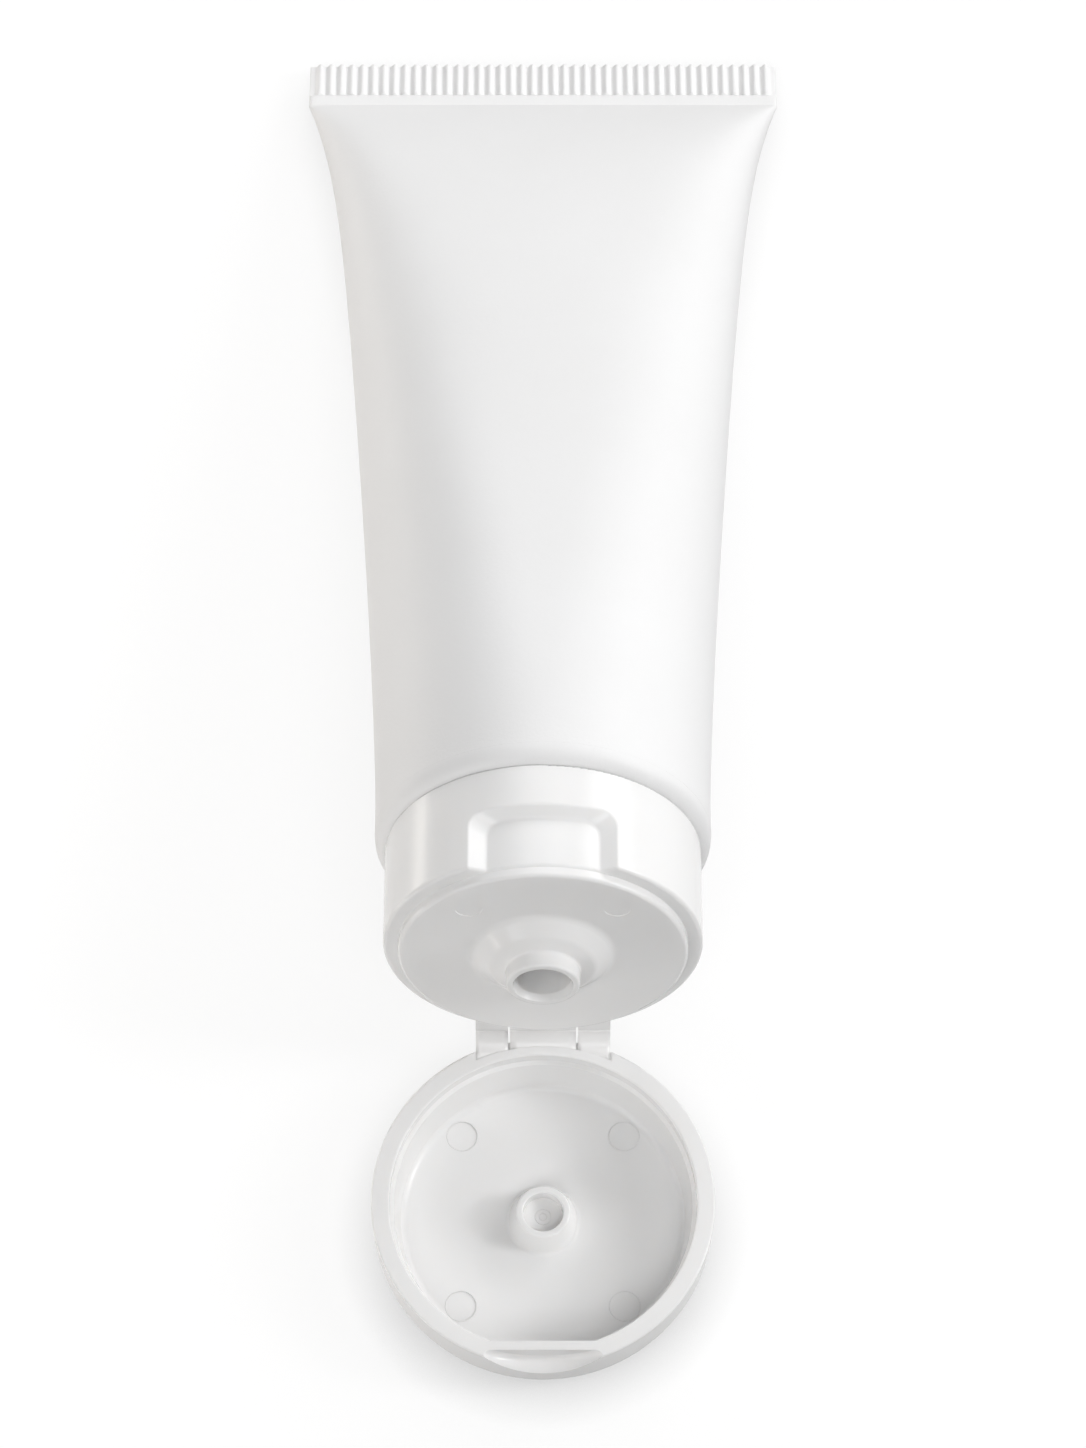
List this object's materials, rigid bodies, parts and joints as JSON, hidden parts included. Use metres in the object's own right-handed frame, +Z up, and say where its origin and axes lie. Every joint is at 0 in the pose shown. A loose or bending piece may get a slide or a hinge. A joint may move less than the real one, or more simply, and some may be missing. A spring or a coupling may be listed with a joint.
{
  "type": "cosmetic tube",
  "caption": "Plastic squeeze tube with a ribbed flat crimp and a flip-top cap, lying on its back with the lid open on a living hinge.",
  "frame": {"origin": "centre of the open lid's outer face, on the floor", "axes": "+X across the tube's width, +Y from the lid towards the crimp, +Z up from the floor"},
  "size_m": [0.0624, 0.1821, 0.0464],
  "materials": {
    "sleeve": "satin white polyethylene with a fine grain",
    "shoulder": "moulded white polyethylene",
    "cap": "smooth moulded white polypropylene"
  },
  "bodies": {
    "tube": {"tube_sleeve": "sleeve", "tube_shoulder": "shoulder", "cap_base": "cap"},
    "lid": {"lid": "cap"}
  },
  "joints": [
    {"name": "lid_hinge", "type": "hinge", "parent": "tube", "child": "lid", "pos_m": [0, 0.0205, 0.0093], "axis": [1, 0, 0], "range_deg": [-100.96, 79.04]}
  ]
}
